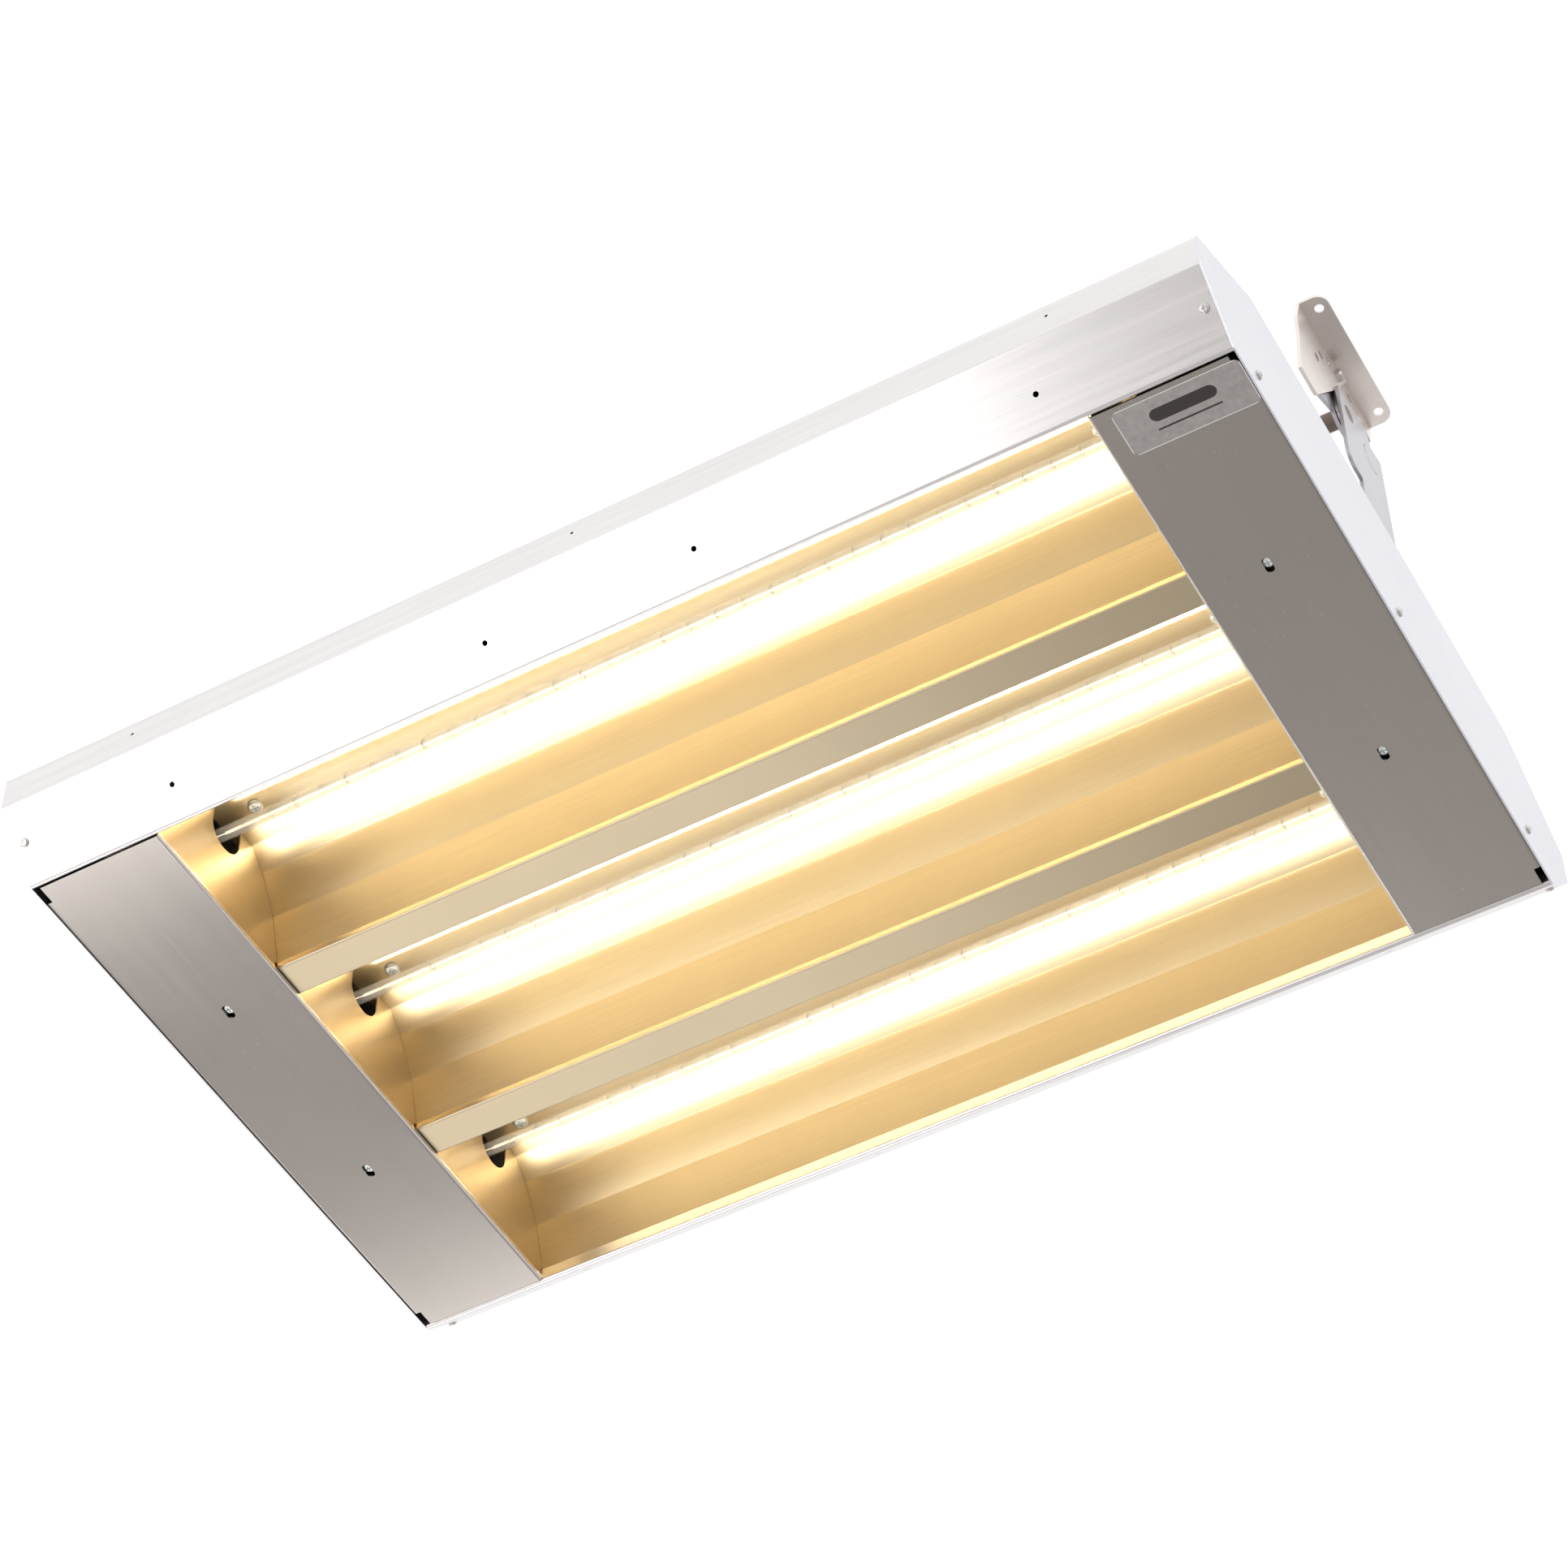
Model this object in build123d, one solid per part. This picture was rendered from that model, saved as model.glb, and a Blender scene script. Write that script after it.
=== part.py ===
"""Overhead infrared heater with three quartz lamps on two tilting ceiling brackets.

The heater is laid out with its length along X, its width along Y and Z upwards, first with z = 0 at the
plane of its lower rim. Every node is then lowered so that the origin of the written files is the centre of
the four ceiling bolts, in the ceiling plane.
"""
from build123d import *
from math import cos, hypot, radians, sin
import os

os.makedirs("parts", exist_ok=True)

# Housing
body_length = 864.0
rim_half = 242.0            # half width at the lower rim
flare = 38.7                # the 45 degree facet's run, sideways and upwards
body_height = 109.0
roof_run = 83.7             # the roof slope's run, sideways
roof_rise = 42.0            # and its rise, from the upright side to the flat top
skin = 1.2
bend = 1.0                  # inside radius of a bend
rim_lip = 3.5               # flat foot of the rail, between the facet and the inner return
rim_return = 11.0           # height of the rail's inner return
roof_flange = 16.0          # the rail's flange under the top panel
end_flange = 14.0           # end plate flanges that the rails and the top panel are screwed to
gap = 0.3                   # clearance between pieces that do not touch

# Holes and fasteners of the housing
facet_hole_z = 16.3
facet_hole_x = 75.2         # the inner pair, from mid length
facet_hole_inset = 121.5    # the outer pair, from the end
facet_hole_r = 1.9
side_hole_z = 55.5
side_hole_inset = 101.0
side_hole_r = 1.1
rail_screw_z = 20.0
rail_screw_inset = 8.0
end_screw_z = 17.0
end_screw_inset = 37.0      # from the lower rim's corner
rivet_r = 1.6
rivet_inset = 32.0          # from the end
rivet_edge = 8.0            # from the roof's long edge
rivets_per_side = 6

# Underside
cover_length = 98.5
cover_hem = 4.0
cover_upstand = 26.0
cover_notch = (5.0, 14.0)   # cut out of the two outer corners, along X and along Y
cover_slot_inset = 51.0     # from the end plate's outer face
cover_slot_length = 12.0    # along Y
cover_slot_r = 2.8
label_size = (84.0, 35.0)
label_corner_r = 4.0
label_thickness = 0.2
label_shift = 5.5           # from the cover's middle, towards the end plate
label_inset = 22.0          # from the rim's inner edge to the label's middle
divider_share = 0.3606      # the divider's centre line, as a share of the rim's inner half width
divider_width = 27.0
divider_floor = 5.0
divider_wall = 5.0
divider_sheet = 1.0
divider_bend = 0.5
divider_overlap = 12.0      # beyond its screw, towards the end
divider_tongue = 24.0       # the end's length without walls

# Reflectors and lamps
reflector_sheet = 0.8
reflector_bend = 2.0
reflector_space = 20.7      # from a reflector's apex up to the roof's top
mouth_height = 6.6
facet_steps = ((10.7, 0.527), (27.8, 0.852), (42.5, 1.0))   # (inset from the mouth, share of the apex height)
lamp_drop = 15.8            # lamp axis below the apex
lamp_r = 5.0
lamp_wall = 0.9
lamp_window_r = 15.4        # round bottom of the slot in an end reflector
end_reflector_setback = 1.6
reflector_tail = 9.0        # the trough runs on behind its end reflectors
tip_r = 2.2                 # exhaust tip at the tube's mid length
tip_length = 5.0
tip_turn = 115.0            # degrees from straight up, towards the front
filament_r = 1.1
filament_cold = 8.0         # bare lead at each end of the tube
support_pitch = 20.0
support_thickness = 0.6
base_wall = 1.5
base_length = 22.0
base_inset = 18.0           # from the cover's edge to the ceramic base
base_grip = 6.0             # length of tube inside its base
button_r = 1.5
socket_length = 24.0
socket_width = 26.0
socket_height = 30.0
socket_corner_r = 2.0
socket_bore_depth = 12.0
pocket_r = 3.5
pocket_depth = 6.0
contact_r = 3.2
contact_thickness = 0.8

# Inner structure
brace_inset = 20.0          # from the cover's edge to the cross brace's middle
brace_width = 34.0
brace_foot = 12.0
brace_sheet = 1.5
rail_sheet = 1.5
rail_foot_inset = 42.0      # the socket rail's foot stops this far inside the rim's corner
rail_ear = 12.0
rail_hole_r = 3.0
shield_sheet = 0.6
shield_drop = 11.0          # heat shield below the roof's top
hub_inset = 32.0            # conduit hub, from the end
hub_y = -85.0
hub_neck_r = 11.0
hub_r = 15.0
hub_bore_r = 9.0
hub_height = 18.0
hub_hex_height = 6.0
terminal_length = 60.0
terminal_width = 22.0
terminal_height = 18.0
terminal_y = -85.0
terminal_well = 6.0
terminal_shank_r = 1.5
terminal_shank = 4.0
stud_y = 40.0
stud_lift = 12.5            # earthing bolt above the lamp axis
stud_size = 8.0
wire_r = 1.6
wire_bend = 4.0
wire_y_clear = 8.0          # the long leads run this far outside the rim's corner
wire_drop = 24.5            # and this far below the lamp axis
wire_reach = 10.0           # from the socket rail's back to the leads' turn

# Ceiling brackets
pivot_height = 235.0        # pivot axis above the lower rim
bracket_sheet = 2.5
leg_face_inset = 12.0       # from the end plate's outer face to the hanger leg's outer face
flange_half = 58.0
flange_depth = 17.0
flange_corner_r = 9.0
bolt_spacing_y = 96.0
bolt_hole_r = 3.25
bolt_line = 9.5             # bolt holes from the leg's outer face
pivot_r = 6.8
running = 0.05              # radial clearance of the pivot
side_play = 0.4             # between plates that slide on each other
boss_r = 11.0
index_r = 44.0              # radius of the ring of lock holes
index_step = 22.5
lock_hole_steps = (-1, 0, 1, 2, 3)
lock_r = 3.0
lock_hole_r = 3.2
lock_clear = 15.5           # top lock hole below the ceiling
index_plate_r = 52.0
index_hub_r = 14.0
slot_sweep = 43.0           # half angle of the index plate's slot
fan_start = 40.0            # degrees from +Y
fan_sweep = 168.0
plate_neck = (5.0, 53.0)    # fixture plate's upright, from and to, along Y
plate_nose = -14.0          # its corner around the pivot
plate_nose_drop = 65.0
knockout_centre = (33.0, -11.0)   # from the pivot, along Y and Z
knockout_r = 11.1
knockout_slit = 0.7
foot_screws_y = (17.0, 41.0)
foot_screw_inset = 21.0     # from the end
foot_edge = 11.0
clip_gap = 30.0             # retaining ring from the index plate
clip_width = 2.6

# Fasteners
small_head_r = 3.2
small_shank_r = 1.75
wide_head_r = 4.6           # divider screws
big_head_r = 5.4
big_shank_r = 2.5
hex_size = 10.0
washer_thickness = 1.2
nut_height = 5.0

half_length = body_length / 2
half_width = rim_half + flare
top_half = half_width - roof_run
shoulder_height = body_height - roof_rise
inner_rim = rim_half - rim_lip
cover_inner_x = half_length - cover_length
slot_x = half_length - cover_slot_inset
end_screws_y = (end_screw_inset - rim_half, 0.0, rim_half - end_screw_inset)
rivet_pitch = 2 * (half_length - rivet_inset) / (rivets_per_side - 1)
rivets_x = [rivet_inset - half_length + i * rivet_pitch for i in range(rivets_per_side)]
rivet_y = top_half - rivet_edge
hub_x = half_length - hub_inset
foot_screw_x = half_length - foot_screw_inset

divider_y = divider_share * inner_rim
divider_half = slot_x + divider_overlap
tongue_x = divider_half - divider_tongue
outer_bay_low = divider_y + divider_width / 2 - divider_sheet - gap
outer_bay_high = inner_rim + skin + gap
middle_bay_mouth = divider_y - divider_width / 2 + divider_sheet + gap
outer_bay = ((outer_bay_low + outer_bay_high) / 2, (outer_bay_high - outer_bay_low) / 2)
BAYS = {"front": (-outer_bay[0], outer_bay[1]), "middle": (0.0, middle_bay_mouth), "back": outer_bay}
SIDES = {"left": -1, "right": 1}

apex_height = body_height - reflector_space
lamp_height = apex_height - lamp_drop
lamp_bore_r = lamp_r - lamp_wall
support_r = lamp_bore_r - 0.2
base_r = lamp_r + base_wall
base_start = cover_inner_x + base_inset
lamp_half = base_start + base_grip
socket_start = base_start + base_length - socket_bore_depth
web_x = socket_start + socket_length
foot_z = divider_floor + divider_sheet + gap
brace_x = cover_inner_x - brace_inset
brace_half = top_half - roof_flange - 2 * gap
wire_y = -(rim_half + wire_y_clear)
wire_x = web_x + rail_sheet + wire_reach
wire_step = 2 * wire_r + 0.8

ceiling_height = pivot_height + index_r + lock_clear
leg_x = half_length - leg_face_inset
leg_low = leg_x - bracket_sheet
index_x = leg_low - side_play - bracket_sheet
plate_x = leg_x + side_play
clip_x = index_x - clip_gap


def write(name, shape):
    """Lower a node from the rim's frame to the ceiling's frame and write it."""
    export_step(Pos(0, 0, -ceiling_height) * shape, "parts/" + name + ".step")


def together(solids):
    """Separate solids kept as one node."""
    return Compound(children=list(solids))


def both_ends(shape):
    """A right-hand piece and its mirror image at the left-hand end, in one node."""
    return together([shape, mirror(shape, about=Plane.YZ)])


def mirrored(shape, side):
    """The right-hand piece, or its mirror image for the left-hand end."""
    return shape if side > 0 else mirror(shape, about=Plane.YZ)


def offset_points(points, distance):
    """The mitred line at a distance to the left of an open polyline."""
    normals = []
    for (ax, ay), (bx, by) in zip(points, points[1:]):
        run = hypot(bx - ax, by - ay)
        normals.append(((ay - by) / run, (bx - ax) / run))
    moved = []
    for i, (px, py) in enumerate(points):
        first = normals[max(i - 1, 0)]
        last = normals[min(i, len(normals) - 1)]
        scale = distance / (1 + first[0] * last[0] + first[1] * last[1])
        moved.append((px + (first[0] + last[0]) * scale, py + (first[1] + last[1]) * scale))
    return moved


def folded(points, thickness, radius=bend):
    """Section of a folded sheet: the polyline is one skin and the other lies to its left."""
    inner = offset_points(points, thickness)
    near, far = [], []
    for a, b, c in zip(points, points[1:], points[2:]):
        turn = (b[0] - a[0]) * (c[1] - b[1]) - (b[1] - a[1]) * (c[0] - b[0])
        near.append(radius + thickness if turn > 0 else radius)
        far.append(radius if turn > 0 else radius + thickness)
    if near:
        lines = [FilletPolyline(*points, radius=near), FilletPolyline(*inner, radius=far)]
    else:
        lines = [Line(*points), Line(*inner)]
    lines += [Line(points[0], inner[0]), Line(points[-1], inner[-1])]
    return make_face([edge for line in lines for edge in line.edges()])


def along_x(face, start, length):
    """Extrude a section drawn in Y and Z along X."""
    return Pos(start, 0, 0) * extrude(Plane.YZ * face, amount=length, dir=(1, 0, 0))


def along_y(face, start, length):
    """Extrude a section drawn in X and Z along Y."""
    return Pos(0, start, 0) * extrude(Plane.XZ * face, amount=length, dir=(0, 1, 0))


def rod_x(r, start, length, y, z):
    """A round bar along X."""
    bar = Cylinder(r, length, align=(Align.CENTER, Align.CENTER, Align.MIN))
    return Pos(start, y, z) * Rot(0, 90, 0) * bar


def rod_z(r, start, length, x, y):
    """A round bar along Z."""
    return Pos(x, y, start) * Cylinder(r, length, align=(Align.CENTER, Align.CENTER, Align.MIN))


def block(x, y, z):
    """A box from three (low, high) pairs."""
    size = [high - low for low, high in (x, y, z)]
    return Pos(x[0], y[0], z[0]) * Box(*size, align=(Align.MIN, Align.MIN, Align.MIN))


def pan_screw(head_r, shank_r, grip):
    """Pan head screw along Z: the head stands above z = 0 and the shank reaches down through the grip."""
    head_height = 0.6 * head_r
    head = Cylinder(head_r, head_height, align=(Align.CENTER, Align.CENTER, Align.MIN))
    head = fillet(head.edges().group_by(Axis.Z)[-1], 0.7 * head_height)
    for turn in (0, 90):
        arm = Box(1.1 * head_r, 0.22 * head_r, head_height, align=(Align.CENTER, Align.CENTER, Align.MIN))
        head -= Pos(0, 0, 0.45 * head_height) * Rot(0, 0, turn) * arm
    return head + Cylinder(shank_r, grip, align=(Align.CENTER, Align.CENTER, Align.MAX))


def hex_bolt(size, r, grip):
    """Hex head bolt along Z: the head above z = 0, the shank below."""
    head_height = 0.42 * size
    head = extrude(RegularPolygon(size / 2, 6, major_radius=False), amount=head_height)
    dome = Cone(0.7 * size, 0.45 * size, head_height, align=(Align.CENTER, Align.CENTER, Align.MIN))
    return (head & dome) + Cylinder(r, grip, align=(Align.CENTER, Align.CENTER, Align.MAX))


def hex_nut(size, r, height):
    """Hex nut along Z, its lower face at z = 0."""
    nut = extrude(RegularPolygon(size / 2, 6, major_radius=False), amount=height)
    return nut - Cylinder(r, height, align=(Align.CENTER, Align.CENTER, Align.MIN))


# Housing -----------------------------------------------------------------------------------------------

def out_of_facet(x, z, shape):
    """Turn a piece that points along +Z to point out of the back rail's 45 degree facet."""
    return Pos(x, rim_half + z, z) * Rot(-135, 0, 0) * shape


def back_rail():
    """One long side: inner return, rim, facet, upright side, roof slope and the flange under the roof."""
    roof = body_height - skin
    line = [
        (inner_rim, rim_return),
        (inner_rim, 0),
        (rim_half, 0),
        (half_width, flare),
        (half_width, shoulder_height),
        (top_half, roof),
        (top_half - roof_flange, roof),
    ]
    rail = along_x(folded(line, skin), skin - half_length, body_length - 2 * skin)
    for end in (-1, 1):
        for x in (facet_hole_x, half_length - facet_hole_inset):
            rail -= out_of_facet(end * x, facet_hole_z, Cylinder(facet_hole_r, 4 * skin))
        x = end * (half_length - rail_screw_inset)
        rail -= out_of_facet(x, rail_screw_z, Cylinder(small_shank_r, 4 * skin))
    for x in (side_hole_inset - half_length, 0, half_length - side_hole_inset):
        rail -= Pos(x, half_width, side_hole_z) * Rot(90, 0, 0) * Cylinder(side_hole_r, 4 * skin)
    for x in rivets_x:
        rail -= rod_z(rivet_r, roof - 2 * skin, 3 * skin, x, rivet_y)
    return rail


def rail_screws():
    """The screws that hold the rails to the end plates' flanges."""
    screws = []
    for end in (-1, 1):
        x = end * (half_length - rail_screw_inset)
        screw = out_of_facet(x, rail_screw_z, pan_screw(small_head_r, small_shank_r, 2.4 * skin))
        screws += [screw, mirror(screw, about=Plane.XZ)]
    return together(screws)


def top_panel():
    """The flat roof, laid on the rails' flanges, with the hole for the conduit hub."""
    panel = block(
        (skin - half_length, half_length - skin), (-top_half, top_half), (body_height - skin, body_height)
    )
    panel -= rod_z(hub_neck_r, body_height - 2 * skin, 3 * skin, hub_x, hub_y)
    for x in rivets_x:
        for y in (-rivet_y, rivet_y):
            panel -= rod_z(rivet_r, body_height - 2 * skin, 3 * skin, x, y)
    for x in (-foot_screw_x, foot_screw_x):
        for y in foot_screws_y:
            panel -= rod_z(big_shank_r, body_height - 2 * skin, 3 * skin, x, y)
    return panel


def roof_rivets():
    """Blind rivets along the roof's two long edges, with their broken stems."""
    rivets = []
    for x in rivets_x:
        for y in (-rivet_y, rivet_y):
            head = Cylinder(2 * rivet_r, 1.3, align=(Align.CENTER, Align.CENTER, Align.MIN))
            head = fillet(head.edges().group_by(Axis.Z)[-1], 0.9)
            head -= Pos(0, 0, 0.8) * Cylinder(0.9, 1, align=(Align.CENTER, Align.CENTER, Align.MIN))
            rivet = head + Cylinder(rivet_r, 2 * skin + 1, align=(Align.CENTER, Align.CENTER, Align.MAX))
            rivets.append(Pos(x, y, body_height) * rivet)
    return together(rivets)


def end_plate():
    """The right-hand end: the full section, with flanges that the rails and the roof are fixed to."""
    outline = Polygon(
        (-rim_half, 0), (-half_width, flare), (-half_width, shoulder_height), (-top_half, body_height),
        (top_half, body_height), (half_width, shoulder_height), (half_width, flare), (rim_half, 0),
        align=None,
    )
    plate = along_x(outline, half_length - skin, skin)
    slope = (half_width - top_half) / (body_height - skin - shoulder_height)
    flange_top = body_height - skin - 3 * end_flange / slope
    side = [
        (rim_half + end_flange, end_flange),
        (half_width, flare),
        (half_width, shoulder_height),
        (top_half + 3 * end_flange, flange_top),
    ]
    flange = along_x(folded(offset_points(side, skin), skin), half_length - skin - end_flange, end_flange)
    plate += flange + mirror(flange, about=Plane.XZ)
    roof_half = top_half - roof_flange - 2 * gap
    plate += block(
        (half_length - skin - end_flange, half_length - skin),
        (-roof_half, roof_half),
        (body_height - 2 * skin, body_height - skin),
    )
    for y in end_screws_y:
        plate -= rod_x(small_shank_r, half_length - 2 * skin, 3 * skin, y, end_screw_z)
    cut = out_of_facet(half_length - rail_screw_inset, rail_screw_z, Cylinder(small_shank_r, 6 * skin))
    return plate - cut - mirror(cut, about=Plane.XZ)


def end_plate_screws():
    """The screws through the end plates into the covers' upstands."""
    screws = []
    for end in (-1, 1):
        for y in end_screws_y:
            screw = pan_screw(small_head_r, small_shank_r, 2.4 * skin)
            screws.append(Pos(end * half_length, y, end_screw_z) * Rot(0, 90 * end, 0) * screw)
    return together(screws)


def end_cover():
    """The right-hand cover under the lamp sockets: hemmed inside, an upstand for the end plate outside."""
    outer = half_length - skin
    half = inner_rim - 2.5 * gap
    line = [(cover_inner_x, cover_hem), (cover_inner_x, 0), (outer, 0), (outer, cover_upstand)]
    cover = along_y(folded(line, skin), -half, 2 * half)
    for y in (-divider_y, divider_y):
        slot = Rot(0, 0, 90) * SlotOverall(cover_slot_length, 2 * cover_slot_r)
        cover -= Pos(slot_x, y, -skin) * extrude(slot, amount=3 * skin)
    for y in end_screws_y:
        cover -= rod_x(small_shank_r, outer - 2 * skin, 3 * skin, y, end_screw_z)
    notch = block((outer - cover_notch[0], outer), (half - cover_notch[1], half), (-skin, 2 * cover_upstand))
    return cover - notch - mirror(notch, about=Plane.XZ)


def label_plate():
    """A thin blank label on the right-hand cover."""
    plate = extrude(RectangleRounded(*label_size, label_corner_r), amount=-label_thickness)
    return Pos(half_length - cover_length / 2 + label_shift, label_inset - inner_rim, 0) * plate


# Dividers and reflectors -------------------------------------------------------------------------------

def divider():
    """A channel between two bays; the reflectors' lower edges stand inside it."""
    half = divider_width / 2
    top = divider_floor + divider_wall
    line = [(-half, top), (-half, divider_floor), (half, divider_floor), (half, top)]
    channel = along_x(folded(line, divider_sheet, divider_bend), -divider_half, 2 * divider_half)
    for x in (-slot_x, slot_x):
        channel -= rod_z(small_shank_r, divider_floor - 1, divider_sheet + 2, x, 0)
    walls = block((tongue_x - 1, divider_half), (-half, half), (divider_floor + divider_sheet, top + 1))
    return channel - walls - mirror(walls, about=Plane.YZ)


def divider_screws():
    """The screws that hold the dividers up to the socket rails, reached through the covers' slots."""
    screws = []
    for x in (-slot_x, slot_x):
        for y in (-divider_y, divider_y):
            screw = pan_screw(wide_head_r, small_shank_r, divider_sheet + rail_sheet + 1.0)
            screws.append(Pos(x, y, divider_floor) * Rot(180, 0, 0) * screw)
    return together(screws)


def trough_line(mouth):
    """A reflector's reflecting skin, from one lower edge over the apex to the other."""
    rise = [(mouth, mouth_height), (mouth, rim_return + 1)]
    rise += [(mouth - inset, share * apex_height) for inset, share in facet_steps]
    return rise + [(-y, z) for y, z in reversed(rise)]


def reflector(mouth):
    """A folded trough, open downwards; its sheet lies outside the reflecting skin."""
    line = list(reversed(trough_line(mouth)))
    half = cover_inner_x + end_reflector_setback + reflector_tail
    trough = along_x(folded(line, reflector_sheet, reflector_bend), -half, 2 * half)
    for x in (-brace_x, brace_x):
        trough -= rod_z(big_shank_r, apex_height - 1, 4 * reflector_sheet, x, 0)
    return trough


def end_reflector(mouth):
    """The right-hand end of a bay: a flat panel inside the trough, slotted from the top for the lamp."""
    upper = offset_points(trough_line(mouth), gap)[1:-1]
    foot = mouth - 2 * skin - gap
    low = cover_hem + 2 * gap
    neck = rim_return + 2 * gap
    outline = [(foot, low), (foot, neck)] + upper + [(-foot, neck), (-foot, low)]
    x = cover_inner_x + end_reflector_setback
    panel = along_x(Polygon(*outline, align=None), x, reflector_sheet)
    panel -= rod_x(lamp_window_r, x - 1, reflector_sheet + 2, 0, lamp_height)
    slot = (-lamp_window_r, lamp_window_r)
    return panel - block((x - 1, x + reflector_sheet + 1), slot, (lamp_height, body_height))


def reflector_screws():
    """One screw near each end of each reflector's apex, up into the cross braces."""
    screws = []
    for y, _ in BAYS.values():
        for x in (-brace_x, brace_x):
            screw = pan_screw(big_head_r, big_shank_r, reflector_sheet + gap + brace_sheet + 1.5)
            screws.append(Pos(x, y, apex_height) * Rot(180, 0, 0) * screw)
    return together(screws)


# Lamps -------------------------------------------------------------------------------------------------

def lamp_tube():
    """Clear quartz tube with its exhaust tip at mid length."""
    tube = rod_x(lamp_r, -lamp_half, 2 * lamp_half, 0, lamp_height)
    tip = Cone(tip_r, 0.4 * tip_r, tip_length, align=(Align.CENTER, Align.CENTER, Align.MIN))
    tube += Pos(0, 0, lamp_height) * Rot(tip_turn, 0, 0) * Pos(0, 0, lamp_r - 0.5) * tip
    return tube - rod_x(lamp_bore_r, -lamp_half - 1, 2 * lamp_half + 2, 0, lamp_height)


def filament():
    """The filament's envelope on its thin support discs."""
    half = lamp_half - filament_cold
    wire = rod_x(filament_r, -half, 2 * half, 0, lamp_height)
    count = int(2 * (cover_inner_x - 5.0) / support_pitch)
    for i in range(count + 1):
        x = (i - count / 2) * support_pitch - support_thickness / 2
        wire += rod_x(support_r, x, support_thickness, 0, lamp_height)
    return wire


def lamp_bases():
    """The lamp's two ceramic ends, each with its contact button."""
    base = rod_x(base_r, base_start, base_length, 0, lamp_height)
    base = chamfer(base.edges().group_by(Axis.X)[0], 1.0)
    base -= rod_x(lamp_r, base_start - 1, base_grip + 1, 0, lamp_height)
    base += rod_x(button_r, base_start + base_length, button_r, 0, lamp_height)
    return both_ends(base)


def lamp_sockets():
    """Two ceramic blocks that take the lamp's ends."""
    low = lamp_height - socket_height / 2
    body = block(
        (socket_start, socket_start + socket_length),
        (-socket_width / 2, socket_width / 2),
        (low, low + socket_height),
    )
    body = fillet(body.edges().filter_by(Axis.X), socket_corner_r)
    body -= rod_x(base_r + gap, socket_start - 1, socket_bore_depth + 1, 0, lamp_height)
    pocket = socket_start + socket_bore_depth
    body -= rod_x(pocket_r, pocket - 1, 1 + pocket_depth, 0, lamp_height)
    return both_ends(body)


def socket_contacts():
    """The leaf contacts at the bottom of the six sockets."""
    leaves = []
    x = socket_start + socket_bore_depth + button_r
    for y, _ in BAYS.values():
        leaf = rod_x(contact_r, x, contact_thickness, y, lamp_height)
        leaf += rod_x(0.4 * contact_r, x, pocket_depth - button_r, y, lamp_height)
        leaves += [leaf, mirror(leaf, about=Plane.YZ)]
    return together(leaves)


# Inner structure ---------------------------------------------------------------------------------------

def socket_rail():
    """The right-hand cross member: sockets on its web, dividers under its foot, ears to the rails."""
    foot = rim_half - rail_foot_inset
    ear = half_width - skin
    low, high = flare + 3, shoulder_height - 3
    brow, top = top_half + 8, body_height - 9
    outline = Polygon(
        (-foot, foot_z), (foot, foot_z), (ear, low), (ear, high), (brow, top), (-brow, top), (-ear, high),
        (-ear, low), align=None,
    )
    rail = along_x(outline, web_x, rail_sheet)
    rail += block((tongue_x, web_x), (-foot, foot), (foot_z, foot_z + rail_sheet))
    tab = block((web_x - rail_ear, web_x), (ear - rail_sheet, ear), (low + 1, high - 1))
    rail += tab + mirror(tab, about=Plane.XZ)
    for y in (-divider_y, divider_y):
        rail -= rod_z(small_shank_r, foot_z - 1, rail_sheet + 2, slot_x, y)
    for y, _ in BAYS.values():
        rail -= rod_x(rail_hole_r, web_x - 1, rail_sheet + 2, y, lamp_height)
    rail -= rod_x(big_shank_r, web_x - 1, rail_sheet + 2, stud_y, lamp_height + stud_lift)
    return rail - Pos(web_x, wire_y, lamp_height - wire_drop) * Box(4 * rail_sheet, 8 * wire_r, 8 * wire_r)


def cross_brace():
    """A hat section above the reflectors: its floor takes their screws, its brims meet the roof."""
    half = brace_width / 2
    floor = apex_height + reflector_sheet + gap
    roof = body_height - skin
    line = [
        (-half - brace_foot, roof - brace_sheet),
        (-half, roof - brace_sheet),
        (-half, floor),
        (half, floor),
        (half, roof - brace_sheet),
        (half + brace_foot, roof - brace_sheet),
    ]
    brace = Pos(brace_x, 0, 0) * along_y(folded(line, brace_sheet, 0.8), -brace_half, 2 * brace_half)
    for y, _ in BAYS.values():
        brace -= rod_z(big_shank_r, floor - 1, brace_sheet + 2, brace_x, y)
    return brace


def heat_shield():
    """The sheet between the reflectors and the roof, tacked to the braces' walls."""
    x = brace_x - brace_width / 2
    low = body_height - shield_drop
    return block((-x, x), (-brace_half, brace_half), (low, low + shield_sheet))


def conduit_hub():
    """Where the supply conduit enters through the roof: a hub with a hex and a neck through the sheet."""
    hub = rod_z(hub_r, body_height, hub_height, hub_x, hub_y)
    hub = chamfer(hub.edges().group_by(Axis.Z)[-1], 1.2)
    nut = extrude(RegularPolygon(hub_r + 3, 6, major_radius=False), amount=hub_hex_height)
    hub += Pos(hub_x, hub_y, body_height) * nut
    hub += rod_z(hub_neck_r - gap, body_height - skin - 4, skin + 4, hub_x, hub_y)
    return hub - rod_z(hub_bore_r, body_height - skin - 5, hub_height + skin + 6, hub_x, hub_y)


def hub_locknut():
    """The ring nut under the roof."""
    top = body_height - skin
    ring = extrude(RegularPolygon(hub_r, 8, major_radius=False), amount=-3.0)
    return Pos(hub_x, hub_y, top) * ring - rod_z(hub_neck_r - gap, top - 5, 8, hub_x, hub_y)


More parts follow.
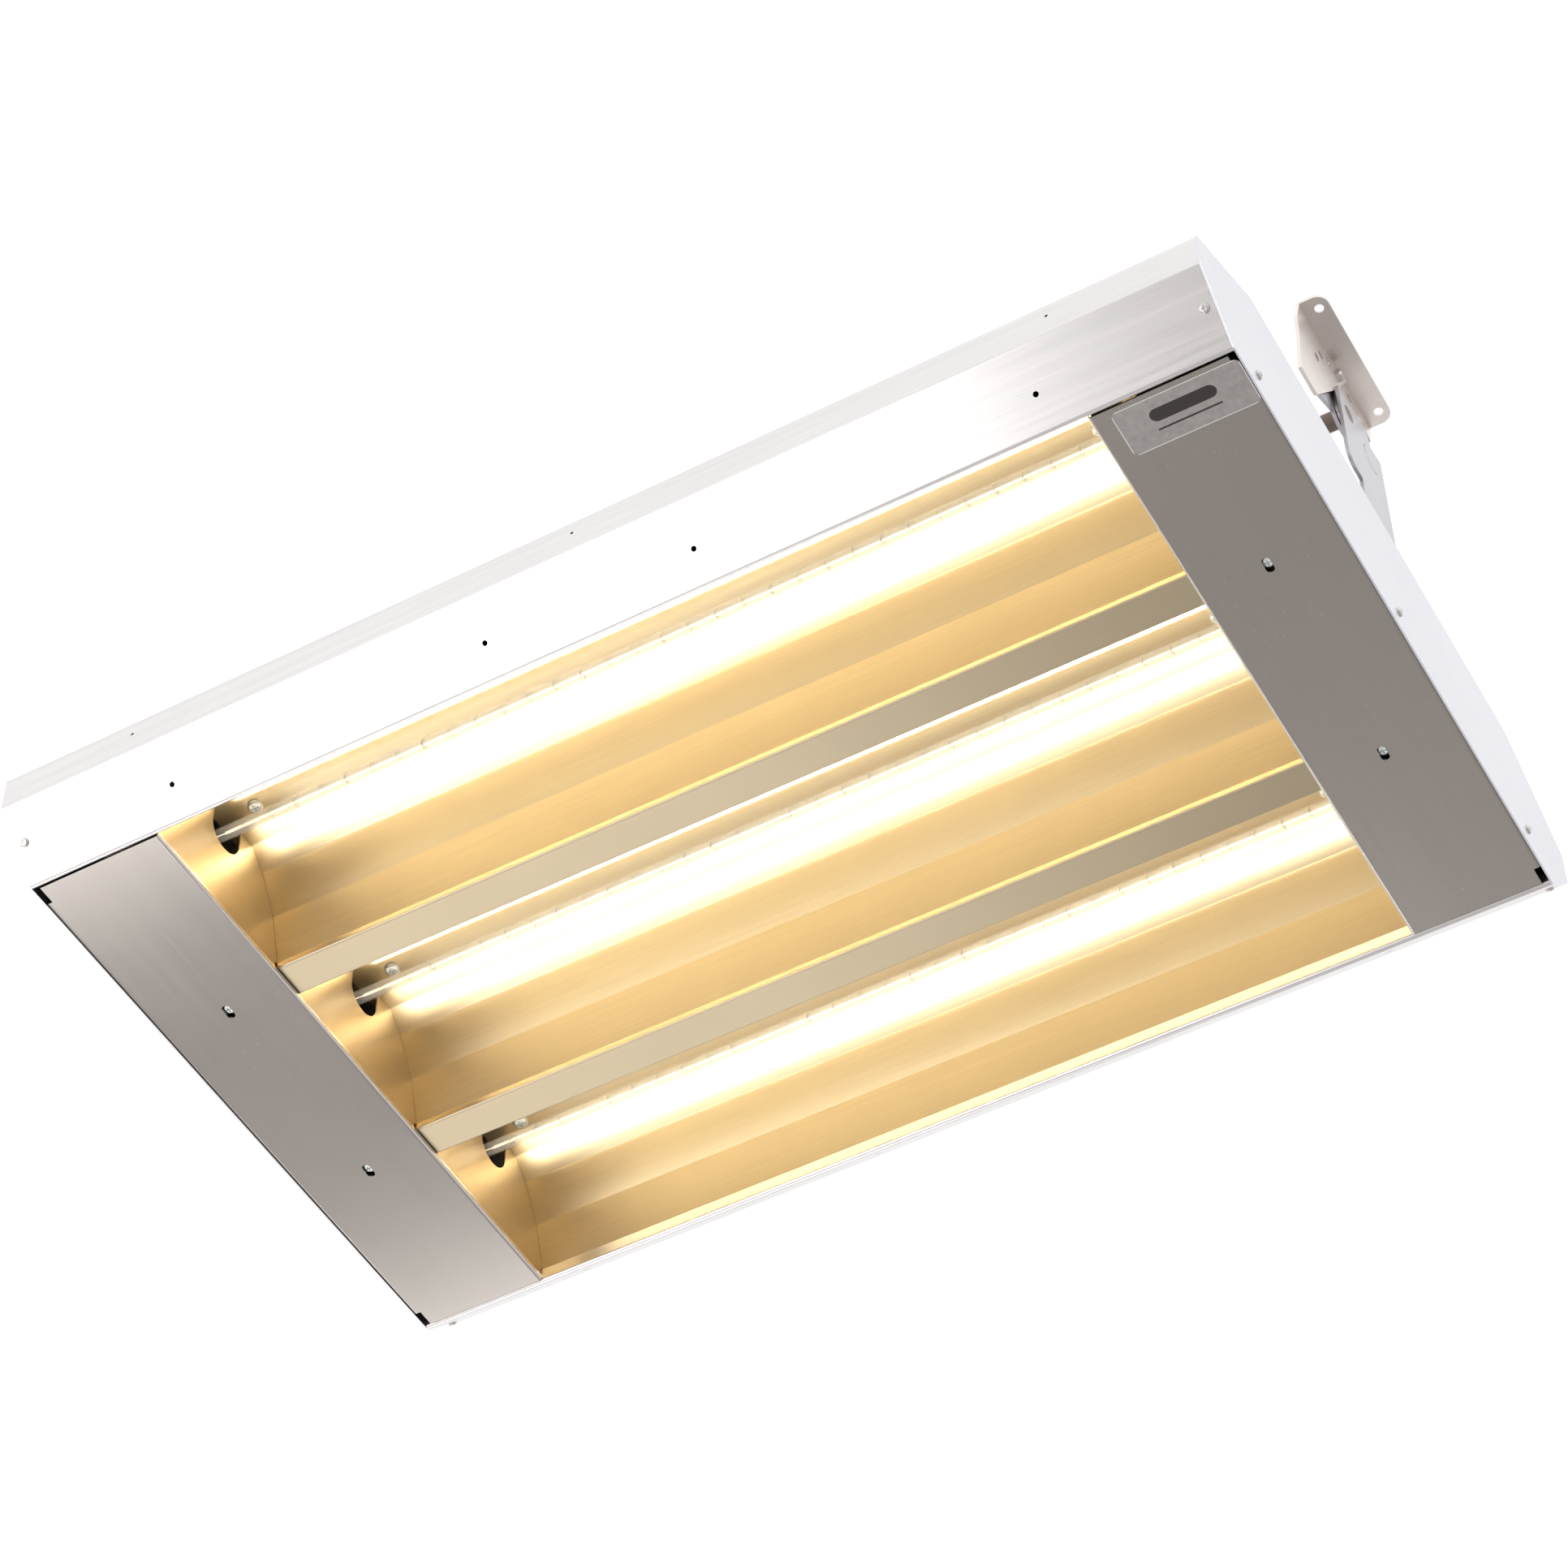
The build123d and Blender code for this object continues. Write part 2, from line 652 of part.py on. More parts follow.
def terminal_block():
    """Ceramic block with three ways on the right-hand socket rail's web."""
    x = web_x + rail_sheet
    body = block(
        (x, x + terminal_height),
        (terminal_y - terminal_length / 2, terminal_y + terminal_length / 2),
        (lamp_height - terminal_width / 2, lamp_height + terminal_width / 2),
    )
    face = x + terminal_height
    for i in (-1, 0, 1):
        y = terminal_y + i * terminal_length / 3
        body -= rod_x(small_head_r + gap, face - terminal_well, terminal_well + 1, y, lamp_height + 4)
        bottom = face - terminal_well - terminal_shank
        body -= rod_x(terminal_shank_r, bottom, terminal_well, y, lamp_height + 4)
    for i in (-0.5, 0.5):
        y = terminal_y + i * terminal_length / 3
        body -= block((face - 4, face + 1), (y - 1, y + 1), (0, body_height))
    return body


def terminal_screws():
    """Clamp screws of the terminal block."""
    x = web_x + rail_sheet + terminal_height - terminal_well
    screws = []
    for i in (-1, 0, 1):
        place = Pos(x, terminal_y + i * terminal_length / 3, lamp_height + 4) * Rot(0, 90, 0)
        screws.append(place * pan_screw(small_head_r, terminal_shank_r, terminal_shank))
    return together(screws)


def ground_stud():
    """Earthing bolt through the right-hand socket rail's web, with its nut."""
    z = lamp_height + stud_lift
    bolt = Pos(web_x, stud_y, z) * Rot(0, -90, 0) * hex_bolt(stud_size, big_shank_r, 2 * stud_size)
    nut = hex_nut(stud_size, big_shank_r, stud_size / 2)
    return together([bolt, Pos(web_x + rail_sheet, stud_y, z) * Rot(0, 90, 0) * nut])


def wire(points):
    """An insulated lead: straight runs joined by arcs."""
    path = FilletPolyline(*points, radius=wire_bend)
    first, second = Vector(*points[0]), Vector(*points[1])
    start = Plane(origin=first, z_dir=second - first)
    return sweep(start * Circle(wire_r), path=path.wire())


def lead_wires_right():
    """Leads from the right-hand sockets over the top of the terminal block."""
    wires = []
    x = wire_x
    block_top = lamp_height + terminal_width / 2
    for i, (y, _) in enumerate(BAYS.values()):
        way = terminal_y + (i - 1) * terminal_length / 3
        run = block_top + 2 * wire_bend + i * wire_step
        route = [(web_x, y, lamp_height), (x, y, lamp_height), (x, y, run), (x, way, run)]
        wires.append(wire(route + [(x, way, block_top)]))
    return together(wires)


def lead_wires_left():
    """Leads from the left-hand sockets, along the front rail, to the underside of the terminal block."""
    wires = []
    x = wire_x
    for i, (y, _) in enumerate(BAYS.values()):
        way = terminal_y + (i - 1) * terminal_length / 3
        run = lamp_height - wire_drop + (1 - i) * wire_step
        route = [
            (-web_x, y, lamp_height),
            (-x, y, lamp_height),
            (-x, y, run),
            (-x, wire_y, run),
            (x, wire_y, run),
            (x, way, run),
            (x, way, lamp_height - terminal_width / 2),
        ]
        wires.append(wire(route))
    return together(wires)


# Ceiling brackets, right-hand end ----------------------------------------------------------------------

def hanger():
    """Ceiling flange and leg: a lobe to the front with the ring of lock holes, and the pivot's boss."""
    top = ceiling_height
    lobe = index_r + 25
    outline = Polygon(
        (-flange_half, top), (-lobe, pivot_height + 27), (-lobe - 1, pivot_height + 6),
        (-lobe - 9, pivot_height - 41), (-lobe + 16, pivot_height - 41), (-boss_r, pivot_height + 16),
        (-boss_r, pivot_height), (boss_r, pivot_height), (boss_r, pivot_height + 27),
        (flange_half - 15, pivot_height + 36), (flange_half - 9, pivot_height + 30), (flange_half, top),
        align=None,
    )
    outline += Pos(0, pivot_height) * Circle(boss_r)
    leg = along_x(outline, leg_low, bracket_sheet)
    flange = block((leg_low, leg_x + flange_depth), (-flange_half, flange_half), (top - bracket_sheet, top))
    corners = flange.edges().filter_by(Axis.Z).group_by(Axis.X)[-1]
    shape = fillet(corners, flange_corner_r) + leg
    fold = shape.edges().filter_by(Axis.Y).group_by(Axis.X)[0].group_by(Axis.Z)[-1]
    shape = fillet(fold, 2.0)
    shape -= rod_x(pivot_r + running, leg_low - 1, bracket_sheet + 2, 0, pivot_height)
    for step in lock_hole_steps:
        turn = radians(step * index_step)
        y, z = -index_r * sin(turn), pivot_height + index_r * cos(turn)
        shape -= rod_x(lock_hole_r, leg_low - 1, bracket_sheet + 2, y, z)
    for side in (-1, 1):
        y = side * (flange_half - 7.5)
        shape -= rod_x(1.6, leg_low - 1, bracket_sheet + 2, y, top - 8.0)
        shape -= rod_z(bolt_hole_r, top - 2 * bracket_sheet, 3 * bracket_sheet, leg_x + bolt_line,
                       side * bolt_spacing_y / 2)
    return shape


def index_plate():
    """Fan inside the leg that turns with the heater; the lock bolt runs in its arc slot."""
    rim = CenterArc((0, pivot_height), index_plate_r, fan_start, fan_sweep)
    fan = make_face([rim, Line(rim @ 1, (0, pivot_height)), Line((0, pivot_height), rim @ 0)])
    fan += Pos(0, pivot_height) * Circle(index_hub_r)
    fan -= SlotArc(CenterArc((0, pivot_height), index_r, 90 - slot_sweep, 2 * slot_sweep), 2 * lock_hole_r)
    plate = along_x(fan, index_x, bracket_sheet)
    return plate - rod_x(pivot_r, index_x - 1, bracket_sheet + 2, 0, pivot_height)


def fixture_plate():
    """The heater's own plate, outside the leg: pivot at its front corner, foot on the roof."""
    low, high = plate_neck
    base = body_height
    corner = pivot_height - plate_nose_drop
    outline = Polygon(
        (plate_nose, pivot_height + 16), (high - 20, pivot_height + 21), (high - 17, pivot_height + 6),
        (high, pivot_height + 8), (high, base), (low, base), (low, corner), (plate_nose, corner),
        align=None,
    )
    outline = fillet(outline.vertices().sort_by_distance((plate_nose, corner))[0], 12.0)
    slit_centre = (knockout_centre[0], pivot_height + knockout_centre[1])
    for start, size in ((150, 58), (222, 85)):
        outline -= SlotArc(CenterArc(slit_centre, knockout_r, start, size), knockout_slit)
    plate = along_x(outline, plate_x, bracket_sheet)
    foot = (foot_screw_x - foot_edge, plate_x + bracket_sheet)
    plate += block(foot, (low, high), (base, base + bracket_sheet))
    plate -= rod_x(pivot_r, plate_x - 1, bracket_sheet + 2, 0, pivot_height)
    for y in foot_screws_y:
        plate -= rod_z(big_shank_r, base - 1, bracket_sheet + 2, foot_screw_x, y)
    return plate


def bracket_screws():
    """The screws that hold the fixture plates' feet to the roof."""
    screws = []
    for x in (-foot_screw_x, foot_screw_x):
        for y in foot_screws_y:
            screw = pan_screw(0.9 * big_head_r, big_shank_r, bracket_sheet + skin + 4)
            screws.append(Pos(x, y, body_height + bracket_sheet) * screw)
    return together(screws)


def pivot_rod():
    """Runs the whole length: welded into the fixture plates and the index plates, free in the hangers."""
    end = plate_x + bracket_sheet
    rod = rod_x(pivot_r, -end, 2 * end, 0, pivot_height)
    groove = rod_x(pivot_r + 1, clip_x, washer_thickness, 0, pivot_height)
    groove -= rod_x(0.85 * pivot_r, clip_x, washer_thickness, 0, pivot_height)
    return rod - groove - mirror(groove, about=Plane.YZ)


def pivot_clip():
    """Retaining ring on the pivot rod."""
    ring = rod_x(pivot_r + clip_width, clip_x, washer_thickness, 0, pivot_height)
    ring -= rod_x(0.85 * pivot_r, clip_x - 1, washer_thickness + 2, 0, pivot_height)
    return ring - block((clip_x - 1, clip_x + 3), (-2.2, 2.2), (pivot_height - 12, pivot_height))


def lock_bolt():
    """The bolt in the hanger's top hole."""
    grip = leg_x - index_x + side_play + washer_thickness + nut_height + 3
    return Pos(leg_x, 0, pivot_height + index_r) * Rot(0, 90, 0) * hex_bolt(hex_size, lock_r, grip)


def lock_nuts():
    """A nut and a washer on each lock bolt, just clear of the index plate."""
    face = index_x - side_play
    z = pivot_height + index_r
    washer = rod_x(2 * lock_r, face - washer_thickness, washer_thickness, 0, z)
    washer -= rod_x(lock_r, face - 5, 8, 0, z)
    nut = hex_nut(hex_size, lock_r, nut_height)
    nut = Pos(face - washer_thickness - nut_height, 0, z) * Rot(0, 90, 0) * nut
    return together([washer, nut, mirror(washer, about=Plane.YZ), mirror(nut, about=Plane.YZ)])


# Files -------------------------------------------------------------------------------------------------

write("back_rail", back_rail())
write("front_rail", mirror(back_rail(), about=Plane.XZ))
write("top_panel", top_panel())
write("roof_rivets", roof_rivets())
write("heat_shield", heat_shield())
write("divider_front", Pos(0, -divider_y, 0) * divider())
write("divider_back", Pos(0, divider_y, 0) * divider())

for side_name, sign in SIDES.items():
    write("end_plate_" + side_name, mirrored(end_plate(), sign))
    write("end_cover_" + side_name, mirrored(end_cover(), sign))
    write("socket_rail_" + side_name, mirrored(socket_rail(), sign))
    write("cross_brace_" + side_name, mirrored(cross_brace(), sign))
    write("hanger_" + side_name, mirrored(hanger(), sign))
    write("index_plate_" + side_name, mirrored(index_plate(), sign))
    write("fixture_plate_" + side_name, mirrored(fixture_plate(), sign))

for bay_name, (bay_y, bay_mouth) in BAYS.items():
    write("reflector_" + bay_name, Pos(0, bay_y, 0) * reflector(bay_mouth))
    write("lamp_tube_" + bay_name, Pos(0, bay_y, 0) * lamp_tube())
    write("filament_" + bay_name, Pos(0, bay_y, 0) * filament())
    write("lamp_bases_" + bay_name, Pos(0, bay_y, 0) * lamp_bases())
    write("lamp_sockets_" + bay_name, Pos(0, bay_y, 0) * lamp_sockets())
    for side_name, sign in SIDES.items():
        panel = mirrored(end_reflector(bay_mouth), sign)
        write("end_reflector_" + bay_name + "_" + side_name, Pos(0, bay_y, 0) * panel)

write("socket_contacts", socket_contacts())
write("terminal_block", terminal_block())
write("terminal_screws", terminal_screws())
write("ground_stud", ground_stud())
write("lead_wires_left", lead_wires_left())
write("lead_wires_right", lead_wires_right())
write("conduit_hub", conduit_hub())
write("hub_locknut", hub_locknut())
write("label_plate", label_plate())
write("rail_screws", rail_screws())
write("end_plate_screws", end_plate_screws())
write("divider_screws", divider_screws())
write("reflector_screws", reflector_screws())
write("bracket_screws", bracket_screws())
write("pivot_rod", pivot_rod())
write("pivot_clips", both_ends(pivot_clip()))
write("lock_bolts", both_ends(lock_bolt()))
write("lock_nuts", lock_nuts())
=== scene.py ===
import math
import random

import bpy
from mathutils import Matrix, Vector


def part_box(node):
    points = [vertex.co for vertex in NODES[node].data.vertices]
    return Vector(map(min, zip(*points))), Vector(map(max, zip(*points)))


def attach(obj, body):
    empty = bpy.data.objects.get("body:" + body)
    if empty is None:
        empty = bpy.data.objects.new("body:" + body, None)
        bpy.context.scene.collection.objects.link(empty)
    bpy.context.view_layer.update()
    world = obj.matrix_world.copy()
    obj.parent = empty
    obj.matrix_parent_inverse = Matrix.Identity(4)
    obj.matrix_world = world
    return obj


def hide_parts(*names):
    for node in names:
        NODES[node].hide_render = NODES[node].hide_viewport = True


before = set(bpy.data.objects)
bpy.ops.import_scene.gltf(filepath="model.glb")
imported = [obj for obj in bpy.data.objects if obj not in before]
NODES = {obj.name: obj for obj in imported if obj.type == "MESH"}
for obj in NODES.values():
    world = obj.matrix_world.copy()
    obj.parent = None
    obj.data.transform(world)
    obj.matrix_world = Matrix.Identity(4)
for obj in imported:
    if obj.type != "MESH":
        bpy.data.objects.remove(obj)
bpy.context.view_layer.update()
BAYS = ("front", "middle", "back")
SIDES = ("left", "right")
HEATER = "heater"             # the body that carries the housing and the lamps
MM = 0.001


# ---------------------------------------------------------------- camera, light, floor

CAMERA_PLACE = (0.9008, -1.6463, -2.4074)
CAMERA_RIGHT = (0.87319495, 0.48734444, -0.00509707)
CAMERA_UP = (0.37474293, -0.66468215, 0.64634771)
CAMERA_BACK = (0.31160603, -0.56629765, -0.76302598)
CAMERA_LENS = 99.894
SENSOR_WIDTH = 36.0
CLIP_END = 100.0

FLOOR_Z = -2.75
FLOOR_REACH = 40.0
FLOOR_COLOUR = (0.46, 0.445, 0.44)
SKY = 1.16
PANEL_Z = FLOOR_Z + 0.05
STUDIO_LIGHTS = (             # name, place, direction, width, height, power
    ("softbox", (-1.55, -2.55, -1.75), (0.9, 2.3, 1.45), 2.0, 1.7, 36.0),
    ("low_panel_back", (-2.3, 2.80, PANEL_Z), (0, 0, 1), 3.2, 0.6, 24.0),
    ("low_panel_front", (-2.3, 1.05, PANEL_Z), (0, 0, 1), 3.2, 0.5, 18.0),
)

LAMP_STRIPS = (               # degrees round the tube, upwards from +Y; power; spread in degrees
    (32, 0.74, 66),
    (148, 0.74, 66),
    (90, 0.009, 180),
    (210, 0.009, 180),
    (330, 0.009, 180),
)
LAMP_COLOUR = (1.0, 0.93, 0.80)
STRIP_WIDTH = 8 * MM
STRIP_STANDOFF = 6.5 * MM     # from the tube's axis
STRIP_END_GAP = 25 * MM       # between a strip's end and the filament's


def add_camera():
    """The low three-quarter view from the front and the right, looking up."""
    data = bpy.data.cameras.new("camera")
    data.lens = CAMERA_LENS
    data.sensor_width = SENSOR_WIDTH
    data.clip_end = CLIP_END
    camera = bpy.data.objects.new("camera", data)
    bpy.context.scene.collection.objects.link(camera)
    turn = Matrix((CAMERA_RIGHT, CAMERA_UP, CAMERA_BACK)).transposed()
    camera.matrix_world = Matrix.Translation(CAMERA_PLACE) @ turn.to_4x4()
    bpy.context.scene.camera = camera


def add_world():
    world = bpy.data.worlds.new("studio")
    bpy.context.scene.world = world
    world.use_nodes = True
    background = world.node_tree.nodes["Background"]
    background.inputs["Color"].default_value = (1, 1, 1, 1)
    background.inputs["Strength"].default_value = SKY
    bpy.context.scene.view_settings.view_transform = "Standard"
    bpy.context.scene.cycles.use_denoising = True


def add_floor(material):
    mesh = bpy.data.meshes.new("floor")
    reach = FLOOR_REACH
    corners = [(-reach, -reach), (reach, -reach), (reach, reach), (-reach, reach)]
    mesh.from_pydata([(x, y, FLOOR_Z) for x, y in corners], [], [(0, 1, 2, 3)])
    mesh.materials.append(material.data)
    floor = bpy.data.objects.new("floor", mesh)
    bpy.context.scene.collection.objects.link(floor)


def add_area(name, place, towards, width, height, power, colour=(1, 1, 1), body=None, spread=180):
    """An area light that the camera doesn't see; its width runs along X where it can."""
    data = bpy.data.lights.new(name, "AREA")
    data.shape = "RECTANGLE"
    data.size = width
    data.size_y = height
    data.energy = power
    data.color = colour
    data.spread = math.radians(spread)
    light = bpy.data.objects.new(name, data)
    bpy.context.scene.collection.objects.link(light)
    back = -Vector(towards).normalized()
    side = (Vector((1, 0, 0)) - back * back.x).normalized()
    turn = Matrix((side, back.cross(side), back)).transposed()
    light.matrix_world = Matrix.Translation(place) @ turn.to_4x4()
    light.visible_camera = False
    if body:
        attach(light, body)


def add_lamp_light(bay):
    """Strips round a tube carry the light of the lit filament, most of it onto the upper facets."""
    low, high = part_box("filament_" + bay)
    centre = (low + high) / 2
    length = high.x - low.x - 2 * STRIP_END_GAP
    for turn, power, spread in LAMP_STRIPS:
        out = Vector((0, math.cos(math.radians(turn)), math.sin(math.radians(turn))))
        add_area("glow_%s_%d" % (bay, turn), centre + out * STRIP_STANDOFF, out,
                 length, STRIP_WIDTH, power, LAMP_COLOUR, HEATER, spread)


# ---------------------------------------------------------------- materials

class Material:
    """A node material built up call by call; every pattern lies in the object's own metres."""

    def __init__(self, name):
        self.data = bpy.data.materials.new(name)
        self.data.use_nodes = True
        self.nodes = self.data.node_tree.nodes
        self.links = self.data.node_tree.links
        self.shader = self.nodes["Principled BSDF"]
        self.coords = self.nodes.new("ShaderNodeTexCoord").outputs["Object"]

    def set(self, **values):
        """Constants, by socket name with _ for each space."""
        for name, value in values.items():
            self.shader.inputs[name.replace("_", " ")].default_value = value
        return self

    def link(self, name, value):
        self.links.new(value, self.shader.inputs[name])

    def scaled(self, scale):
        """The coordinates times scale, which is one number or one for each axis."""
        node = self.nodes.new("ShaderNodeMapping")
        node.inputs["Scale"].default_value = scale if isinstance(scale, tuple) else (scale,) * 3
        self.links.new(self.coords, node.inputs["Vector"])
        return node.outputs["Vector"]

    def noise(self, scale, detail=3.0, rough=0.5):
        node = self.nodes.new("ShaderNodeTexNoise")
        node.inputs["Scale"].default_value = 1.0
        node.inputs["Detail"].default_value = detail
        node.inputs["Roughness"].default_value = rough
        self.links.new(self.scaled(scale), node.inputs["Vector"])
        return node.outputs["Fac"]

    def cells(self, scale):
        """The distance to the nearest of many scattered points."""
        node = self.nodes.new("ShaderNodeTexVoronoi")
        node.inputs["Scale"].default_value = 1.0
        self.links.new(self.scaled(scale), node.inputs["Vector"])
        return node.outputs["Distance"]

    def axis(self, letter):
        node = self.nodes.new("ShaderNodeSeparateXYZ")
        self.links.new(self.coords, node.inputs["Vector"])
        return node.outputs[letter]

    def ramp(self, value, low, high, start=0.3, end=0.7):
        """Goes from low to high, two colours or two greys, as value goes from start to end."""
        node = self.nodes.new("ShaderNodeValToRGB")
        stops = ((start, low), (end, high))
        for element, (place, tone) in zip(node.color_ramp.elements, stops):
            element.position = place
            element.color = (*tone, 1) if isinstance(tone, tuple) else (tone, tone, tone, 1)
        self.links.new(value, node.inputs["Fac"])
        return node.outputs["Color"]

    def math(self, kind, a, b=None):
        """a and b are numbers or sockets."""
        node = self.nodes.new("ShaderNodeMath")
        node.operation = kind
        for socket, value in zip(node.inputs, (a, b)):
            if isinstance(value, (int, float)):
                socket.default_value = value
            elif value is not None:
                self.links.new(value, socket)
        return node.outputs["Value"]

    def mix(self, factor, base, colour):
        """Lays a plain colour over base."""
        node = self.nodes.new("ShaderNodeMix")
        node.data_type = "RGBA"
        factor_socket, base_socket, colour_socket = (node.inputs[i] for i in (0, 6, 7))
        self.links.new(factor, factor_socket)
        self.links.new(base, base_socket)
        colour_socket.default_value = (*colour, 1)
        return node.outputs[2]

    def bump(self, height, distance, strength):
        node = self.nodes.new("ShaderNodeBump")
        node.inputs["Strength"].default_value = strength
        node.inputs["Distance"].default_value = distance
        self.links.new(height, node.inputs["Height"])
        self.link("Normal", node.outputs["Normal"])

    def stretch_highlights(self, direction):
        """direction lies across the brush marks, in the object's own axes."""
        node = self.nodes.new("ShaderNodeVectorTransform")
        node.vector_type = "VECTOR"
        node.convert_from = "OBJECT"
        node.convert_to = "WORLD"
        node.inputs[0].default_value = direction
        self.link("Tangent", node.outputs[0])
        self.set(Anisotropic=BRUSHED_ANISOTROPY)


def tinted(colour, factor):
    return tuple(min(1.0, c * factor) for c in colour)


COLOURS = {
    "rail_steel": (0.76, 0.74, 0.735),
    "cover_steel": (0.41, 0.38, 0.35),
    "plate_steel": (0.72, 0.72, 0.76),
    "bracket_steel": (0.52, 0.51, 0.54),
    "hanger_steel": (0.80, 0.74, 0.70),
    # divider colour: steel with a painted warm cast laid in, standing in for the gold reflectors'
    # light falling on it
    "divider_steel": (0.50, 0.42, 0.29),
    "aluminised_steel": (0.62, 0.63, 0.64),
    "gold_reflector": (0.77, 0.64, 0.405),
    # end panels: a darker, less saturated copy of the reflector gold, painted shade standing in for
    # the shading on the end panels
    "end_panel_gold_painted_shade": (0.68, 0.56, 0.39),
    "zinc_screw": (0.84, 0.88, 0.89),
    "stainless_fastener": (0.70, 0.68, 0.66),
    # pivot rod: a dark brown base colour, painted shade standing in for the dark reflections along
    # the rod
    "shaft_painted_shade": (0.18, 0.14, 0.12),
    "brass": (0.78, 0.58, 0.25),
    "rivet": (0.78, 0.78, 0.79),
    "hub_zinc": (0.62, 0.63, 0.65),
}
TONES = {                     # the darker and the paler tone of a finish with two
    "tungsten": ((0.40, 0.36, 0.32), (0.56, 0.51, 0.46)),
    "filament_glow": ((0.30, 0.27, 0.25), (0.42, 0.38, 0.34)),
    "ceramic_body": ((0.74, 0.71, 0.64), (0.84, 0.82, 0.77)),
    "wire_sleeve": ((0.60, 0.57, 0.50), (0.76, 0.74, 0.68)),
    "label_film": ((0.36, 0.34, 0.33), (0.42, 0.40, 0.385)),
}
QUARTZ_COLOUR = (0.94, 0.96, 1.0, 1.0)
QUARTZ_IOR = 1.46
QUARTZ_ALPHA = 0.2
GLOW_TONES = ((1.0, 0.78, 0.48), (1.0, 0.86, 0.62))
GLOW_STRENGTH = 3.0
# painted highlight colour for the covers' folded edge, in place of the edge's reflection
HEM_HIGHLIGHT_COLOUR = (0.97, 0.95, 0.97)
BRUSHED_ANISOTROPY = 0.6

# By the axis the brush marks run along: how much the noise is squeezed, and the way across.
GRAIN = {"x": (14.0, 1700.0, 1700.0), "y": (1700.0, 14.0, 1700.0), "z": (1700.0, 1700.0, 14.0)}
ACROSS = {"x": (0, 0.7, 0.7), "y": (1, 0, 0), "z": (0, 1, 0)}
BROAD_GRAIN = 0.12            # the wide streaks' share of the fine ones' scale

LABEL_RIM = 0.6 * MM
LABEL_RIM_COLOUR = (0.80, 0.79, 0.78)
LABEL_BUBBLE_COLOUR = (0.62, 0.61, 0.60)
LABEL_INK = (0.045, 0.04, 0.038)
BAR_R = 4.8 * MM              # half the bar's width, and the radius of its ends
BAR_HALF = 17 * MM            # half the length between the centres of its ends
BAR_Y = -4 * MM               # from the label's middle
RULE_Y = 6.5 * MM
RULE_HALF_WIDTH = 0.7 * MM
RULE_HALF_LENGTH = 21 * MM


def brushed_steel(name, along, rough, contrast, specks=0.0, vary=0.05, highlight_edge_x=None):
    """Brushed sheet: fine streaks along one axis, faint handling smudges and a few bright specks.

    The last argument is the |x| of a folded edge, along which a painted highlight stands in for the
    light its rounded edge reflects.
    """
    colour = COLOURS[name]
    m = Material(name).set(Metallic=1.0)
    m.stretch_highlights(ACROSS[along])
    fine = m.noise(GRAIN[along], detail=4.0, rough=0.65)
    broad = m.noise(tuple(g * BROAD_GRAIN for g in GRAIN[along]), detail=2.0)
    streak = m.math("ADD", m.math("MULTIPLY", fine, 0.7), m.math("MULTIPLY", broad, 0.3))
    smudge = m.noise(9.0, detail=4.0, rough=0.6)
    base = m.ramp(streak, tinted(colour, 1 - contrast), tinted(colour, 1 + contrast), 0.35, 0.65)
    base = m.mix(m.ramp(smudge, 0.0, 0.35, 0.35, 0.75), base, tinted(colour, 0.93))
    if specks:
        near = m.math("LESS_THAN", m.cells(240.0), 0.075)
        some = m.math("GREATER_THAN", m.noise(23.0, detail=2.0), 0.53)
        dot = m.math("MULTIPLY", m.math("MULTIPLY", near, some), specks)
        base = m.mix(dot, base, tinted(colour, 1.9))
    # painted highlight: a paler band along the folded edge stands in for the light its rounded edge
    # reflects
    if highlight_edge_x:
        off = m.math("ABSOLUTE", m.math("SUBTRACT", m.math("ABSOLUTE", m.axis("X")), highlight_edge_x))
        off = m.math("MULTIPLY", off, 0.5 / MM)
        base = m.mix(m.ramp(off, 1.0, 0.0, 0.3, 0.75), base, HEM_HIGHLIGHT_COLOUR)
    m.link("Base Color", base)
    spread = m.ramp(streak, rough - vary, rough + vary)
    spread = m.mix(m.ramp(smudge, 0.0, 0.5, 0.4, 0.8), spread, tinted((rough,) * 3, 1.25))
    m.link("Roughness", spread)
    m.bump(streak, 0.12 * vary * MM, 0.6)
    return m


def gold(name, metallic=0.82):
    """Satin anodised aluminium, rolled along the trough."""
    colour = COLOURS[name]
    m = Material(name).set(Metallic=metallic)
    fine = m.noise((8.0, 900.0, 900.0), rough=0.6)
    haze = m.noise((5.0, 30.0, 30.0))
    base = m.ramp(fine, tinted(colour, 0.97), tinted(colour, 1.03), 0.35, 0.65)
    base = m.mix(m.ramp(haze, 0.0, 0.25, 0.4, 0.75), base, tinted(colour, 0.95))
    m.link("Base Color", base)
    m.link("Roughness", m.ramp(haze, 0.30, 0.38, 0.3, 0.75))
    m.bump(fine, 0.006 * MM, 0.5)
    return m


def plated(name, rough):
    """Small hardware and inner sheet: plain metal with a faint crystalline mottle."""
    colour = COLOURS[name]
    m = Material(name).set(Metallic=1.0)
    grain = m.cells(700.0)
    cast = m.noise(120.0)
    base = m.ramp(cast, tinted(colour, 0.93), tinted(colour, 1.05))
    base = m.mix(m.ramp(grain, 0.12, 0.0, 0.1, 0.6), base, tinted(colour, 0.7))
    m.link("Base Color", base)
    m.link("Roughness", m.ramp(cast, rough - 0.06, rough + 0.08))
    m.bump(grain, 0.01 * MM, 0.4)
    return m


def quartz():
    m = Material("quartz_glass").set(Metallic=0.0, IOR=QUARTZ_IOR, Alpha=QUARTZ_ALPHA)
    m.set(Base_Color=QUARTZ_COLOUR)
    cloud = m.noise((14.0, 160.0, 160.0))
    m.link("Roughness", m.ramp(cloud, 0.02, 0.10, 0.35, 0.8))
    return m


